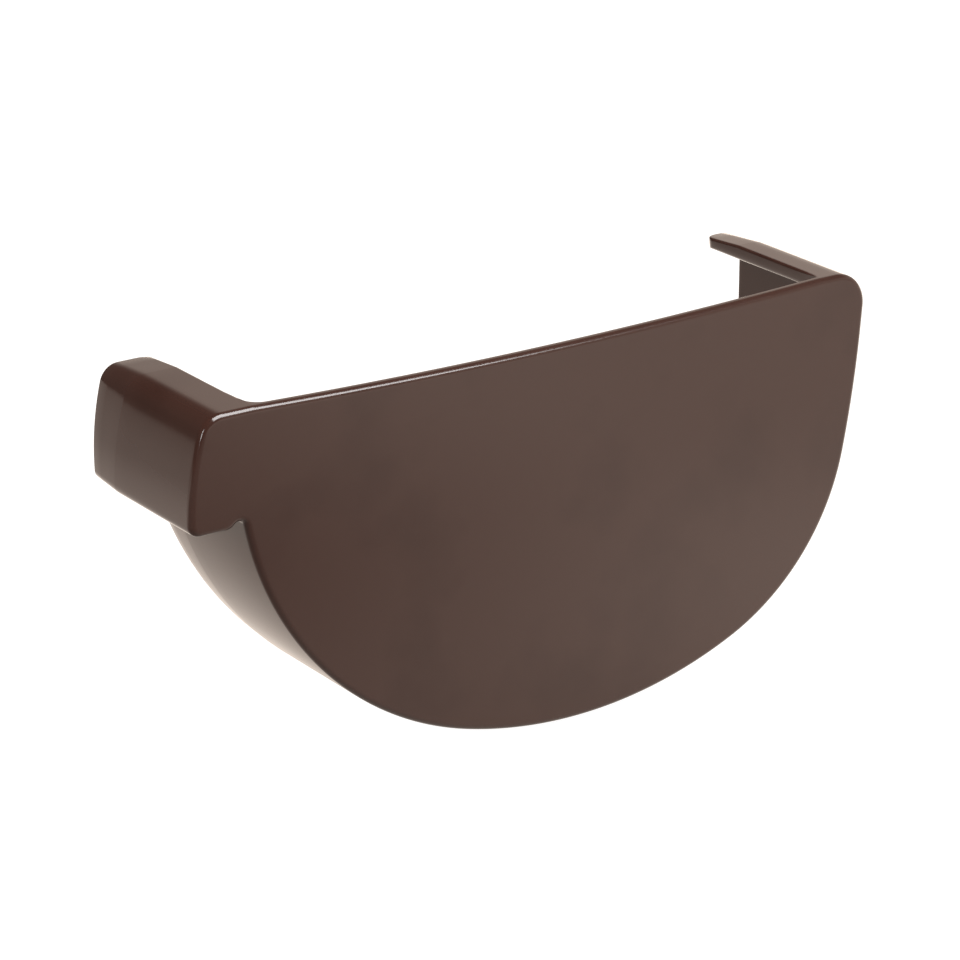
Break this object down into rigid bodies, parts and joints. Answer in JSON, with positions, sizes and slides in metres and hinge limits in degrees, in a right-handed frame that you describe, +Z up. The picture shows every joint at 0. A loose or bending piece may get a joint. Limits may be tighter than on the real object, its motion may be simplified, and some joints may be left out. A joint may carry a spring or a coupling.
{
  "type": "gutter end cap",
  "caption": "End cap for a flattened half-round gutter: a D-shaped plate with a deep skirt, a box pocket for the front bead and a hooked back flange.",
  "frame": {"origin": "on the inner face of the end plate, at rim level, above the lowest point of the trough", "axes": "+X across the gutter towards the back edge with the hook, the bead pocket is at -X; +Y back along the gutter, away from the outer face; +Z up"},
  "size_m": [0.1389, 0.0357, 0.0707],
  "materials": {
    "shell": "glossy dark brown moulded plastic with faint cloudy patches on the face"
  },
  "bodies": {
    "root": {"end_cap": "shell"}
  },
  "joints": []
}
